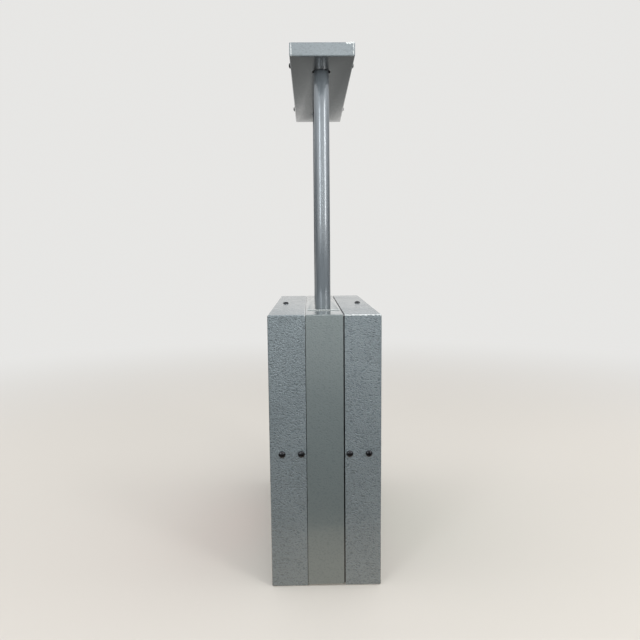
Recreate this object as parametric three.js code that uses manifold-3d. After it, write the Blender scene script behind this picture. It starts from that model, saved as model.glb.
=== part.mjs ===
// Ceiling-hung double-faced signal head: a square sheet-steel box with a red lens on the front face and a
// green lens on the rear face, hung on two steel tubes from a ceiling bracket under a shallow canopy.
// Millimetres, +Z up. The origin is the middle of the box's underside; the lens faces look along -Y and +Y.

import * as THREE from 'three';
import { mergeVertices } from 'three/addons/utils/BufferGeometryUtils.js';
import Module from 'manifold-3d';

const wasm = await Module();
wasm.setup();

// ---------------------------------------------------------------- driving dimensions
const BOX_HALF = 200; // half the box's width; its height is twice this
const BOX_DEPTH_HALF = 80; // box centre to the face of a cover
const SHEET = 1.5; // folded sheet steel
const GAP = 0.3; // left between pieces that touch
const OVERCUT = 5; // how far a cutter runs past the wall it cuts
const CENTRE_Z = BOX_HALF; // lens axis height
const TOP_Z = 2 * BOX_HALF;

const BAND_FRONT = 26.6; // centre band's front edge, from the box's middle plane
const BAND_REAR = 26; // centre band's rear edge
const BAND_LIFT = 2; // the band's underside clears the table
const FRONT_RIM = 27.4; // open rim of the front cover
const REAR_RIM = 28; // open rim of the rear cover, which leaves the wider rear seam

const LINER_HALF = 198; // outside of the liner that the covers slide over
const LINER_REACH = 44.5; // how far the liner's edges stand from the middle plane
const LINER_BOTTOM = 4;
const LINER_TOP = 398;

const PLATE_THICK = 2; // mounting plate
const PLATE_TOP = 345; // its main edge, below the wiring space
const TONGUE_HALF = 62; // the tongue that carries the terminal block
const TONGUE_TOP = 385;
const VENT = { x: 165, heights: [45, 320], radius: 14 };
const LEAD_PASS = { z: 340, radius: 6 }; // where the rear leads pass through the plate

const LENS_OPENING_R = 150;
const LENS_FLANGE_R = 158;
const LENS_FOOT_R = 147.8; // where the dome leaves its flange
const LENS_FLANGE_BACK = 74.2;
const LENS_THICK = 2.5;
const LENS_CROWN = 89; // top of the dome, 9 mm proud of the face
const BEAD = { thickness: 1.4, proud: 0.6 }; // the gasket's bead round the opening

const FRAME_HALF = 198; // lens frame, a shallow tray inside the cover
const FRAME_FACE = 73.9;
const FRAME_REACH = 52;
const FRAME_OPENING_R = 145;

const DISH_FLAT_R = 118;
const DISH_RIM_R = 152;
const DISH_BACK = 10; // reflector's flat back, from the middle plane
const DISH_RIM = 60;
const DISH_LIP = 6; // flat lip outside the rim
const DISH_SHEET = 1.2;

const LAMP_AXIS = 36; // lamps lie across the box, this far from its middle plane
const HOLDER_BACK = 96; // lampholder's closed end
const HOLDER_MOUTH = 66;
const HOLDER_R = 13;
const HOLDER_BRACKET = { sheet: 1.5, halfHeight: 13, foot: 26, above: 12 };
const BULB = { radius: 22.5, height: 35, steps: 6 }; // the ball's centre is this far past the mouth
const CAP = { radius: 7, below: 22, above: 6 };

const TUBE_X = 121.5;
const TUBE_R = 11.25;
const TUBE_BORE_R = 9.75;
const TUBE_BOTTOM = 385;
const HANGER_PLATE = { thickness: 1, pastTube: 16, inset: 2 };
const WASHER = { radius: 18, thickness: 1.5 };
const LOCK_NUT = { radius: 17, height: 5.5, below: 8 };
const CABLE_BUSH = { radius: 12.25, bore: 6.5, height: 4 };
const COLLAR = { radius: 17, height: 6 };

const CANOPY_HALF_X = 187.3;
const CANOPY_HALF_Y = 44.5;
const CANOPY_BOTTOM = 748.6;
const CANOPY_TUBE_HOLE_R = 13.5;
const CEILING_Z = 766.5;
const BRACKET_THICK = 3;
const BRACKET_HALF_X = 176;
const BRACKET_HALF_Y = 42.4;
const BRACKET_LIP_Z = 752;
const CEILING_SCREW = { places: [60, 158], radius: 3.5 };

const COVER_SCREW_INNER = 34.6; // screw rows, from the middle plane
const COVER_SCREW_OUTER = 62.2;
const COVER_SCREW = { headR: 4.8, headHeight: 3, shankR: 2.5, shankLength: 12 };
const CANOPY_SCREW_Z = 757.6;
const CANOPY_SCREW = { headR: 3.9, headHeight: 2.6, shankR: 2, shankLength: 9 };

const FINE = 40; // sides of the large rounds
const MEDIUM = 20;
const SMALL = 10;

// ---------------------------------------------------------------- materials
const paint = (color, roughness, metalness) =>
  new THREE.MeshStandardMaterial({ color, roughness, metalness });
const MATERIAL = {
  coverEnamel: paint(0x74797b, 0.42, 0.25),
  bandEnamel: paint(0x6f7776, 0.4, 0.25),
  tubeEnamel: paint(0x858a8d, 0.3, 0.5),
  canopyEnamel: paint(0x9aa0a3, 0.4, 0.25),
  blackSteel: paint(0x17181a, 0.4, 0.8),
  zincSteel: paint(0xa8abad, 0.4, 0.9),
  whiteReflector: paint(0xe6e7e3, 0.35, 0.1),
  redLens: paint(0xb5120e, 0.15, 0),
  greenLens: paint(0x0c8a4a, 0.15, 0),
  rubber: paint(0x1d1d1e, 0.85, 0),
  porcelain: paint(0xe9e5da, 0.3, 0),
  lampGlass: paint(0xf1efe8, 0.2, 0),
  leadJacket: paint(0x8a8b8c, 0.6, 0),
};

// ---------------------------------------------------------------- shape helpers
function toSolid(geometry) {
  const bare = geometry.clone();
  bare.deleteAttribute('normal');
  bare.deleteAttribute('uv');
  const merged = mergeVertices(bare, 1e-4);
  const corners = merged.index.array;
  const triVerts = [];
  for (let i = 0; i < corners.length; i += 3) {
    const [a, b, c] = corners.slice(i, i + 3);
    if (a !== b && b !== c && c !== a) triVerts.push(a, b, c);
  }
  return new wasm.Manifold(new wasm.Mesh({
    numProp: 3,
    vertProperties: merged.attributes.position.array,
    triVerts: Uint32Array.from(triVerts),
  }));
}

function toGeometry(solid) {
  const { vertProperties, triVerts } = solid.getMesh();
  const geometry = new THREE.BufferGeometry();
  geometry.setAttribute('position', new THREE.BufferAttribute(Float32Array.from(vertProperties), 3));
  geometry.setIndex(new THREE.BufferAttribute(Uint32Array.from(triVerts), 1));
  geometry.computeVertexNormals();
  return geometry;
}

const cutAway = (solid, cutters) => cutters.reduce((rest, cutter) => rest.subtract(cutter), solid);

function block(low, high) {
  const size = high.map((value, i) => value - low[i]);
  const middle = high.map((value, i) => (value + low[i]) / 2);
  return toSolid(new THREE.BoxGeometry(...size).translate(...middle));
}

// A round bar along x, y or z between two places on that axis, about the centre line given by the other two.
function bar(axis, radius, from, to, centre, sides = MEDIUM) {
  const geometry = new THREE.CylinderGeometry(radius, radius, Math.abs(to - from), sides);
  if (axis === 'x') geometry.rotateZ(-Math.PI / 2);
  if (axis === 'z') geometry.rotateX(Math.PI / 2);
  const middle = { x: centre[0], y: centre[1], z: centre[2] };
  middle[axis] = (from + to) / 2;
  return toSolid(geometry.translate(middle.x, middle.y, middle.z));
}

// A turned piece about the +Y axis through the origin. The profile is (radius, height) points; it is
// reversed where needed so that its faces point out.
function turned(profile, sides = MEDIUM) {
  const closed = [...profile, profile[0]];
  let area = 0;
  for (let i = 0; i < profile.length; i += 1) {
    area += closed[i][0] * closed[i + 1][1] - closed[i + 1][0] * closed[i][1];
  }
  const onAxis = profile[0][0] === 0 && profile[profile.length - 1][0] === 0;
  const loop = onAxis ? [...profile] : closed;
  if (area < 0) loop.reverse();
  return new THREE.LatheGeometry(loop.map(([r, h]) => new THREE.Vector2(r, h)), sides);
}

const group = new THREE.Group();

function add(name, geometry, material, parent = group) {
  const mesh = new THREE.Mesh(geometry, material);
  mesh.name = name;
  parent.add(mesh);
  return mesh;
}

const SIDES = [
  { name: 'front', sign: -1, rim: FRONT_RIM, lens: MATERIAL.redLens },
  { name: 'rear', sign: 1, rim: REAR_RIM, lens: MATERIAL.greenLens },
];
const HANDS = [
  { name: 'left', sign: -1 },
  { name: 'right', sign: 1 },
];

// A block given on the +Y side by its outward distances, put on the front or the rear side.
function sideBlock(sign, x, out, z) {
  const y = out.map((value) => sign * value).sort((a, b) => a - b);
  return block([x[0], y[0], z[0]], [x[1], y[1], z[1]]);
}

// A turned profile of (radius, outward distance) about the lens axis of the front or the rear side.
function sideTurned(sign, profile, sides = FINE) {
  const geometry = turned(profile, sides);
  if (sign < 0) geometry.rotateX(Math.PI);
  return toSolid(geometry.translate(0, 0, CENTRE_Z));
}

// ---------------------------------------------------------------- box frame
// A square ring of folded sheet: outside half width, bottom and top, from one y to another.
function ring(half, bottom, top, from, to) {
  const outer = block([-half, from, bottom], [half, to, top]);
  const inner = block(
    [-half + SHEET, from - OVERCUT, bottom + SHEET],
    [half - SHEET, to + OVERCUT, top - SHEET],
  );
  return outer.subtract(inner);
}

const tubeHoles = (radius, low, high) =>
  HANDS.map((hand) => bar('z', radius, low, high, [hand.sign * TUBE_X, 0, 0]));

function centreBand() {
  const band = ring(BOX_HALF, BAND_LIFT, TOP_Z, -BAND_FRONT, BAND_REAR);
  return cutAway(band, tubeHoles(TUBE_R + GAP, TOP_Z - OVERCUT, TOP_Z + OVERCUT));
}

// The liner's side walls have slots, open at the edge, that the inner cover screws slide out of.
function innerLiner() {
  const liner = ring(LINER_HALF, LINER_BOTTOM, LINER_TOP, -LINER_REACH, LINER_REACH);
  const slotHalf = COVER_SCREW.shankR + GAP;
  const cutters = tubeHoles(TUBE_R + GAP, LINER_TOP - OVERCUT, LINER_TOP + OVERCUT);
  for (const side of SIDES) {
    for (const hand of HANDS) {
      const edge = hand.sign * LINER_HALF;
      const x = [edge - OVERCUT, edge + OVERCUT];
      const z = [CENTRE_Z - slotHalf, CENTRE_Z + slotHalf];
      cutters.push(sideBlock(side.sign, x, [COVER_SCREW_INNER - slotHalf, LINER_REACH + OVERCUT], z));
    }
  }
  return cutAway(liner, cutters);
}

// Sheet across the middle of the box, with a tongue between the tubes and four ventilation holes.
function mountingPlate() {
  const y = PLATE_THICK / 2;
  const half = LINER_HALF - SHEET - GAP;
  const bottom = LINER_BOTTOM + SHEET + GAP;
  const plate = block([-half, -y, bottom], [half, y, PLATE_TOP])
    .add(block([-TONGUE_HALF, -y, PLATE_TOP - 1], [TONGUE_HALF, y, TONGUE_TOP]));
  const holes = [bar('y', LEAD_PASS.radius, -OVERCUT, OVERCUT, [0, 0, LEAD_PASS.z], SMALL)];
  for (const hand of HANDS) {
    for (const z of VENT.heights) {
      holes.push(bar('y', VENT.radius, -OVERCUT, OVERCUT, [hand.sign * VENT.x, 0, z], SMALL));
    }
  }
  return cutAway(plate, holes);
}

// A thin doubler on the band's top, pierced by both tubes.
function hangerPlate() {
  const half = TUBE_X + HANGER_PLATE.pastTube;
  const depth = BAND_REAR - HANGER_PLATE.inset;
  const bottom = TOP_Z + GAP;
  const plate = block([-half, -depth, bottom], [half, depth, bottom + HANGER_PLATE.thickness]);
  return cutAway(plate, tubeHoles(TUBE_R + GAP, TOP_Z - OVERCUT, TOP_Z + OVERCUT));
}

add('centre_band', toGeometry(centreBand()), MATERIAL.bandEnamel);
add('inner_liner', toGeometry(innerLiner()), MATERIAL.blackSteel);
add('mounting_plate', toGeometry(mountingPlate()), MATERIAL.zincSteel);
add('hanger_plate', toGeometry(hangerPlate()), MATERIAL.bandEnamel);

// ---------------------------------------------------------------- tubes and ceiling bracket
// Each tube passes through the band's and the liner's top walls to a lock nut, and up to the bracket's web.
function ringAroundTube(outerR, innerR, low, high, sides = MEDIUM) {
  const profile = [[innerR, low], [outerR, low], [outerR, high], [innerR, high]];
  return turned(profile, sides).rotateX(Math.PI / 2);
}

const BRACKET_WEB_Z = CEILING_Z - BRACKET_THICK;

function lockNut() {
  const { radius, height, below } = LOCK_NUT;
  const low = LINER_TOP - SHEET - below;
  const hexagon = new THREE.CylinderGeometry(radius, radius, height, 6).rotateX(Math.PI / 2);
  const body = toSolid(hexagon.translate(0, 0, low + height / 2));
  return toGeometry(body.subtract(bar('z', TUBE_R + GAP, low - OVERCUT, low + height + OVERCUT, [0, 0, 0])));
}

for (const hand of HANDS) {
  const station = new THREE.Group();
  station.position.x = hand.sign * TUBE_X;
  group.add(station);
  const washerTop = LINER_TOP - SHEET - GAP;
  const bushTop = TUBE_BOTTOM - GAP;
  add(`hanger_tube_${hand.name}`,
    ringAroundTube(TUBE_R, TUBE_BORE_R, TUBE_BOTTOM, BRACKET_WEB_Z - GAP), MATERIAL.tubeEnamel, station);
  add(`tube_washer_${hand.name}`,
    ringAroundTube(WASHER.radius, TUBE_R + GAP, washerTop - WASHER.thickness, washerTop),
    MATERIAL.zincSteel, station);
  add(`tube_lock_nut_${hand.name}`, lockNut(), MATERIAL.zincSteel, station);
  add(`tube_cable_bush_${hand.name}`,
    ringAroundTube(CABLE_BUSH.radius, CABLE_BUSH.bore, bushTop - CABLE_BUSH.height, bushTop, SMALL),
    MATERIAL.rubber, station);
  add(`tube_collar_${hand.name}`,
    ringAroundTube(COLLAR.radius, TUBE_R + GAP, BRACKET_WEB_Z - COLLAR.height, BRACKET_WEB_Z - GAP),
    MATERIAL.zincSteel, station);
}

// Upside-down channel screwed to the ceiling. Its lips have slots, open below, for the canopy screws.
function ceilingBracket() {
  const outer = block(
    [-BRACKET_HALF_X, -BRACKET_HALF_Y, BRACKET_LIP_Z],
    [BRACKET_HALF_X, BRACKET_HALF_Y, CEILING_Z],
  );
  const inner = BRACKET_HALF_Y - BRACKET_THICK;
  const hollow = block(
    [-BRACKET_HALF_X - OVERCUT, -inner, BRACKET_LIP_Z - OVERCUT],
    [BRACKET_HALF_X + OVERCUT, inner, BRACKET_WEB_Z],
  );
  const slotHalf = CANOPY_SCREW.shankR + GAP;
  const cutters = [hollow, ...tubeHoles(TUBE_BORE_R, BRACKET_WEB_Z - OVERCUT, CEILING_Z + OVERCUT)];
  for (const hand of HANDS) {
    const x = hand.sign * TUBE_X;
    cutters.push(block(
      [x - slotHalf, -BRACKET_HALF_Y - OVERCUT, BRACKET_LIP_Z - OVERCUT],
      [x + slotHalf, BRACKET_HALF_Y + OVERCUT, CANOPY_SCREW_Z + slotHalf],
    ));
    for (const place of CEILING_SCREW.places) {
      const centre = [hand.sign * place, 0, 0];
      const [low, high] = [BRACKET_WEB_Z - OVERCUT, CEILING_Z + OVERCUT];
      cutters.push(bar('z', CEILING_SCREW.radius, low, high, centre, SMALL));
    }
  }
  return cutAway(outer, cutters);
}

add('ceiling_bracket', toGeometry(ceilingBracket()), MATERIAL.zincSteel);

// ---------------------------------------------------------------- slotted screws
// Pan head up +Z with its underside at the origin, shank down -Z; the slot is turned to its own angle.
function slottedScrew({ headR, headHeight, shankR, shankLength }, slotDegrees) {
  const profile = [
    [0, -shankLength], [shankR, -shankLength], [shankR, 0], [headR, 0],
    [headR, 0.45 * headHeight], [0.86 * headR, 0.82 * headHeight], [0.5 * headR, headHeight], [0, headHeight],
  ];
  const body = toSolid(turned(profile, SMALL).rotateX(Math.PI / 2));
  const slot = new THREE.BoxGeometry(3 * headR, 1.3, headHeight)
    .rotateZ(THREE.MathUtils.degToRad(slotDegrees))
    .translate(0, 0, headHeight);
  return toGeometry(body.subtract(toSolid(slot)));
}

const UP = new THREE.Vector3(0, 0, 1);
function addScrew(name, kind, slotDegrees, position, outward) {
  const direction = new THREE.Vector3(...outward);
  const mesh = add(name, slottedScrew(kind, slotDegrees), MATERIAL.blackSteel);
  mesh.quaternion.setFromUnitVectors(UP, direction);
  mesh.position.set(...position).addScaledVector(direction, GAP);
}

// ---------------------------------------------------------------- covers
const clearHole = COVER_SCREW.shankR + GAP;

function coverShell(side) {
  const { sign, rim } = side;
  const wide = [-BOX_HALF, BOX_HALF];
  const inside = [-BOX_HALF + SHEET, BOX_HALF - SHEET];
  const shell = sideBlock(sign, wide, [rim, BOX_DEPTH_HALF], [0, TOP_Z]);
  const hollow = sideBlock(sign, inside, [rim - OVERCUT, BOX_DEPTH_HALF - SHEET], [SHEET, TOP_Z - SHEET]);
  const face = [BOX_DEPTH_HALF - OVERCUT, BOX_DEPTH_HALF + OVERCUT];
  const opening = bar('y', LENS_OPENING_R, sign * face[0], sign * face[1], [0, 0, CENTRE_Z], FINE);
  const inner = sign * COVER_SCREW_INNER;
  const outer = sign * COVER_SCREW_OUTER;
  return cutAway(shell, [
    hollow,
    opening,
    bar('x', clearHole, -BOX_HALF - OVERCUT, BOX_HALF + OVERCUT, [0, inner, CENTRE_Z], SMALL),
    bar('x', clearHole, -BOX_HALF - OVERCUT, BOX_HALF + OVERCUT, [0, outer, CENTRE_Z], SMALL),
    bar('z', clearHole, TOP_Z - OVERCUT, TOP_Z + OVERCUT, [0, outer, 0], SMALL),
  ]);
}

// Points of the dome's outer curve, from its foot to the crown, lowered by a thickness for the inner curve.
function domeCurve(foot, lowering, steps = 4) {
  const base = LENS_FLANGE_BACK + LENS_THICK;
  const rise = LENS_CROWN - base;
  const radius = (LENS_FOOT_R ** 2 + rise ** 2) / (2 * rise);
  const centre = LENS_CROWN - radius;
  const points = [];
  for (let i = 0; i <= steps; i += 1) {
    const r = foot * (1 - i / steps);
    points.push([r, centre + Math.sqrt(radius ** 2 - r ** 2) - lowering]);
  }
  return points;
}

function lens(sign) {
  const inner = domeCurve(LENS_FOOT_R, LENS_THICK).reverse();
  const flange = [[LENS_FLANGE_R, LENS_FLANGE_BACK], [LENS_FLANGE_R, LENS_FLANGE_BACK + LENS_THICK]];
  return sideTurned(sign, [...inner, ...flange, ...domeCurve(LENS_FOOT_R, 0)]);
}

// L section: a flat washer behind the face, and a bead that edges the lens opening.
function lensGasket(sign) {
  const flangeFront = LENS_FLANGE_BACK + LENS_THICK + GAP;
  const faceBack = BOX_DEPTH_HALF - SHEET - GAP;
  const beadR = LENS_OPENING_R - GAP;
  return sideTurned(sign, [
    [beadR - BEAD.thickness, flangeFront], [LENS_FLANGE_R, flangeFront], [LENS_FLANGE_R, faceBack],
    [beadR, faceBack], [beadR, BOX_DEPTH_HALF + BEAD.proud],
    [beadR - BEAD.thickness, BOX_DEPTH_HALF + BEAD.proud],
  ]);
}

function lensFrame(sign) {
  const z = [CENTRE_Z - FRAME_HALF, CENTRE_Z + FRAME_HALF];
  const within = FRAME_HALF - SHEET;
  const tray = sideBlock(sign, [-FRAME_HALF, FRAME_HALF], [FRAME_REACH, FRAME_FACE], z);
  const hollow = sideBlock(
    sign, [-within, within], [FRAME_REACH - OVERCUT, FRAME_FACE - SHEET],
    [CENTRE_Z - within, CENTRE_Z + within],
  );
  const outer = sign * COVER_SCREW_OUTER;
  return cutAway(tray, [
    hollow,
    bar('y', FRAME_OPENING_R, sign * FRAME_REACH, sign * BOX_DEPTH_HALF, [0, 0, CENTRE_Z], FINE),
    bar('x', clearHole, -BOX_HALF - OVERCUT, BOX_HALF + OVERCUT, [0, outer, CENTRE_Z], SMALL),
    bar('z', clearHole, TOP_Z - OVERCUT, TOP_Z + OVERCUT, [0, outer, 0], SMALL),
  ]);
}

const SLOT_DEGREES = { front: [62, 35, 118, 20, 75], rear: [48, 10, 140, 95, 30] };
for (const side of SIDES) {
  const { name, sign } = side;
  add(`${name}_cover`, toGeometry(coverShell(side)), MATERIAL.coverEnamel);
  add(`${name}_lens`, toGeometry(lens(sign)), side.lens);
  add(`${name}_lens_gasket`, toGeometry(lensGasket(sign)), MATERIAL.rubber);
  add(`${name}_lens_frame`, toGeometry(lensFrame(sign)), MATERIAL.zincSteel);
  const slots = [...SLOT_DEGREES[name]];
  for (const hand of HANDS) {
    const x = hand.sign * BOX_HALF;
    const outward = [hand.sign, 0, 0];
    const inner = [x, sign * COVER_SCREW_INNER, CENTRE_Z];
    const outer = [x, sign * COVER_SCREW_OUTER, CENTRE_Z];
    addScrew(`${name}_cover_screw_${hand.name}`, COVER_SCREW, slots.shift(), inner, outward);
    addScrew(`${name}_lens_frame_screw_${hand.name}`, COVER_SCREW, slots.shift(), outer, outward);
  }
  const top = [0, sign * COVER_SCREW_OUTER, TOP_Z];
  addScrew(`${name}_lens_frame_screw_top`, COVER_SCREW, slots.shift(), top, [0, 0, 1]);
}

// ---------------------------------------------------------------- reflectors, lampholders and lamps
const LEAD_HOLE_X = 109;
const LEAD_HOLE_R = 5;
const LEAD_R = 2;

function reflectorDish(sign) {
  const back = DISH_BACK + DISH_SHEET;
  const dish = sideTurned(sign, [
    [0, DISH_BACK], [DISH_FLAT_R, DISH_BACK], [DISH_RIM_R, DISH_RIM - DISH_SHEET],
    [DISH_RIM_R + DISH_LIP, DISH_RIM - DISH_SHEET], [DISH_RIM_R + DISH_LIP, DISH_RIM],
    [DISH_RIM_R - 1, DISH_RIM],
    [DISH_FLAT_R - 1, back], [0, back],
  ]);
  const leadHoles = HANDS.map((hand) =>
    bar('y', LEAD_HOLE_R, sign * (DISH_BACK - OVERCUT), sign * (back + OVERCUT),
      [hand.sign * LEAD_HOLE_X, 0, CENTRE_Z], SMALL));
  return cutAway(dish, leadHoles);
}

// Foot on the dish and an upright behind the holder, with a hole for the lead.
function holderBracket(side, hand) {
  const foot = DISH_BACK + DISH_SHEET + GAP;
  const upright = HOLDER_BACK + GAP;
  const outside = upright + HOLDER_BRACKET.sheet;
  const footX = [hand * (upright - HOLDER_BRACKET.foot), hand * outside].sort((a, b) => a - b);
  const uprightX = [hand * upright, hand * outside].sort((a, b) => a - b);
  const z = [CENTRE_Z - HOLDER_BRACKET.halfHeight, CENTRE_Z + HOLDER_BRACKET.halfHeight];
  const bracket = sideBlock(side, footX, [foot, foot + HOLDER_BRACKET.sheet], z)
    .add(sideBlock(side, uprightX, [foot, LAMP_AXIS + HOLDER_BRACKET.above], z));
  const centre = [0, side * LAMP_AXIS, CENTRE_Z];
  return bracket.subtract(
    bar('x', 2 * LEAD_R, hand * (upright - OVERCUT), hand * (outside + OVERCUT), centre, SMALL),
  );
}

// Porcelain cup with a flange at its mouth, turned about its own axis with the mouth at height zero.
function lampholder() {
  const depth = HOLDER_BACK - HOLDER_MOUTH;
  return turned([
    [0, -depth], [HOLDER_R - 2, -depth], [HOLDER_R, -depth + 2], [HOLDER_R, -4], [HOLDER_R + 2, -4],
    [HOLDER_R + 2, 0], [9.5, 0], [9.5, 4 - depth], [0, 4 - depth],
  ]);
}

// Round-bulb lamp: screwed cap from below the mouth, neck and a ball that ends clear of the other lamp.
function lamp() {
  const tip = CAP.radius - 3;
  const profile = [
    [0, -CAP.below], [tip, -CAP.below], [CAP.radius, -CAP.below + 4], [CAP.radius, CAP.above],
  ];
  const start = Math.asin((CAP.radius + 2) / BULB.radius);
  for (let i = 0; i <= BULB.steps; i += 1) {
    const angle = start + (Math.PI - start) * (i / BULB.steps);
    profile.push([BULB.radius * Math.sin(angle), BULB.height - BULB.radius * Math.cos(angle)]);
  }
  profile[profile.length - 1][0] = 0;
  return turned(profile, MEDIUM);
}

// The lead drops behind the dish from the terminal block, passes the dish's hole and turns in to the holder.
function leadPath(side, hand) {
  const behind = side * 5.2;
  const start = side < 0 ? [hand * 14, behind, 349] : [hand * 3, behind, LEAD_PASS.z];
  const hole = hand * LEAD_HOLE_X;
  return new THREE.CatmullRomCurve3([
    new THREE.Vector3(...start),
    new THREE.Vector3(hand * 30, behind, 325),
    new THREE.Vector3(hand * 75, behind, 285),
    new THREE.Vector3(hand * 103, behind, 235),
    new THREE.Vector3(hole, behind, CENTRE_Z + 11),
    new THREE.Vector3(hole, side * 6.6, CENTRE_Z + 2.5),
    new THREE.Vector3(hole, side * 12, CENTRE_Z),
    new THREE.Vector3(hole, side * 26, CENTRE_Z),
    new THREE.Vector3(hand * (HOLDER_BACK + 9), side * (LAMP_AXIS - 1), CENTRE_Z),
    new THREE.Vector3(hand * (HOLDER_BACK + 2.4), side * LAMP_AXIS, CENTRE_Z),
  ]);
}

function lead(side, hand) {
  const section = new THREE.Shape().absarc(0, 0, LEAD_R, 0, 2 * Math.PI);
  return new THREE.ExtrudeGeometry(section, {
    curveSegments: 4, steps: 24, bevelEnabled: false, extrudePath: leadPath(side, hand),
  });
}

for (const { name, sign } of SIDES) {
  add(`${name}_reflector`, toGeometry(reflectorDish(sign)), MATERIAL.whiteReflector);
  for (const hand of HANDS) {
    const label = `${name}_${hand.name}`;
    add(`lampholder_bracket_${label}`, toGeometry(holderBracket(sign, hand.sign)), MATERIAL.zincSteel);
    const seat = new THREE.Group();
    seat.position.set(hand.sign * HOLDER_MOUTH, sign * LAMP_AXIS, CENTRE_Z);
    seat.rotation.z = (hand.sign * Math.PI) / 2;
    group.add(seat);
    add(`lampholder_${label}`, lampholder(), MATERIAL.porcelain, seat);
    add(`lamp_${label}`, lamp(), MATERIAL.lampGlass, seat);
    add(`lead_${label}`, lead(sign, hand.sign), MATERIAL.leadJacket);
  }
}

// ---------------------------------------------------------------- terminal block and earth stud
const BLOCK_Z = 366;
const BLOCK = { halfWidth: 26, depth: 14, halfHeight: 10, pitch: 17, row: 5, screwR: 2.4, screwDepth: 8 };
function terminalBlock() {
  const back = -PLATE_THICK / 2 - GAP;
  const front = back - BLOCK.depth;
  const body = block(
    [-BLOCK.halfWidth, front, BLOCK_Z - BLOCK.halfHeight],
    [BLOCK.halfWidth, back, BLOCK_Z + BLOCK.halfHeight],
  );
  const holes = [];
  for (const x of [-BLOCK.pitch, 0, BLOCK.pitch]) {
    for (const rise of [-BLOCK.row, BLOCK.row]) {
      const centre = [x, 0, BLOCK_Z + rise];
      holes.push(bar('y', BLOCK.screwR, front - OVERCUT, front + BLOCK.screwDepth, centre, SMALL));
    }
  }
  return cutAway(body, holes);
}

// Flange, nut and stud in one, as (radius, height above the plate).
function earthStud() {
  const back = PLATE_THICK / 2 + GAP;
  const outline = [[0, 0], [6, 0], [6, 1], [4.6, 1], [4.6, 5], [2.5, 5], [2.5, 11], [0, 11]];
  return turned(outline.map(([r, h]) => [r, back + h]), SMALL).translate(0, 0, BLOCK_Z);
}

add('terminal_block', toGeometry(terminalBlock()), MATERIAL.porcelain);
add('earth_stud', earthStud(), MATERIAL.zincSteel);

// ---------------------------------------------------------------- canopy
// A shallow tray, open above, that slides on the tubes and screws to the bracket's lips.
function canopyCover() {
  const tray = block(
    [-CANOPY_HALF_X, -CANOPY_HALF_Y, CANOPY_BOTTOM],
    [CANOPY_HALF_X, CANOPY_HALF_Y, CEILING_Z],
  );
  const hollow = block(
    [-CANOPY_HALF_X + SHEET, -CANOPY_HALF_Y + SHEET, CANOPY_BOTTOM + SHEET],
    [CANOPY_HALF_X - SHEET, CANOPY_HALF_Y - SHEET, CEILING_Z + OVERCUT],
  );
  const tubeCuts = tubeHoles(CANOPY_TUBE_HOLE_R, CANOPY_BOTTOM - OVERCUT, CANOPY_BOTTOM + OVERCUT);
  const cutters = [hollow, ...tubeCuts];
  const hole = CANOPY_SCREW.shankR + GAP;
  for (const hand of HANDS) {
    const centre = [hand.sign * TUBE_X, 0, CANOPY_SCREW_Z];
    cutters.push(bar('y', hole, -CANOPY_HALF_Y - OVERCUT, CANOPY_HALF_Y + OVERCUT, centre, SMALL));
  }
  return cutAway(tray, cutters);
}

add('canopy_cover', toGeometry(canopyCover()), MATERIAL.canopyEnamel);
const CANOPY_SLOT_DEGREES = [25, 80, 130, 50];
for (const side of SIDES) {
  for (const hand of HANDS) {
    const position = [hand.sign * TUBE_X, side.sign * CANOPY_HALF_Y, CANOPY_SCREW_Z];
    addScrew(`canopy_screw_${side.name}_${hand.name}`, CANOPY_SCREW, CANOPY_SLOT_DEGREES.shift(),
      position, [0, side.sign, 0]);
  }
}

export default group;
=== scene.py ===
# A double-faced signal head for hanging under a ceiling: a square box of hammer-finished sheet steel with a
# red lens on its front and a green one on its rear, on two tubes under a shallow canopy.
import math

import bmesh
import bpy
from mathutils import Matrix, Vector


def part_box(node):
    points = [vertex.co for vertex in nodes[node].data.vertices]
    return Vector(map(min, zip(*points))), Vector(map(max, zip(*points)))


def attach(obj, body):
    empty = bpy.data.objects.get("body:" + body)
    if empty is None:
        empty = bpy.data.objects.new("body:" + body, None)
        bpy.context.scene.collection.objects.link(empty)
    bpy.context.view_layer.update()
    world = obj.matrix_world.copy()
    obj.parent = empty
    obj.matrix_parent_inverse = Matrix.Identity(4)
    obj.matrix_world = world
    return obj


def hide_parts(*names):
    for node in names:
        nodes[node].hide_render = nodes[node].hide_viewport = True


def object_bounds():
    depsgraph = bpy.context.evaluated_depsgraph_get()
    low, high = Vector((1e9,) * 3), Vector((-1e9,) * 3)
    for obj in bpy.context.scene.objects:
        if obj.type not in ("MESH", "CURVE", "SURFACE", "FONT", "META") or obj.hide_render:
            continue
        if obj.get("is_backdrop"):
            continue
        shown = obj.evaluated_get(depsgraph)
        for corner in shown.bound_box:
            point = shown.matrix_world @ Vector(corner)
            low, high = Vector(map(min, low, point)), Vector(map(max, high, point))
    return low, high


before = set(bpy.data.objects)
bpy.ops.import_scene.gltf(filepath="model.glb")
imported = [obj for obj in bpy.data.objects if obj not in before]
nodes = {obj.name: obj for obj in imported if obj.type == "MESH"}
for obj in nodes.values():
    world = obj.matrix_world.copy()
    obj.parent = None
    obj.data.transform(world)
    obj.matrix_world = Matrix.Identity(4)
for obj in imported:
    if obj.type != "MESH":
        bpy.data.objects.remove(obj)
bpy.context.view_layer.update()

# ---------------------------------------------------------------- camera
# It stands a step back from the box's right-hand narrow side, a little above its top, and looks slightly
# down. Its turn, dip and roll are in degrees.
CAMERA_PLACE = Vector((0.9847, -0.0197, 0.4790))
CAMERA_LENS = 31.89
CAMERA_TURN, CAMERA_DIP, CAMERA_ROLL = 0.973, 6.277, 0.503
turn, dip, roll = math.radians(CAMERA_TURN), math.radians(CAMERA_DIP), math.radians(CAMERA_ROLL)
forward = Vector((-math.cos(turn) * math.cos(dip), math.sin(turn) * math.cos(dip), -math.sin(dip)))
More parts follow.
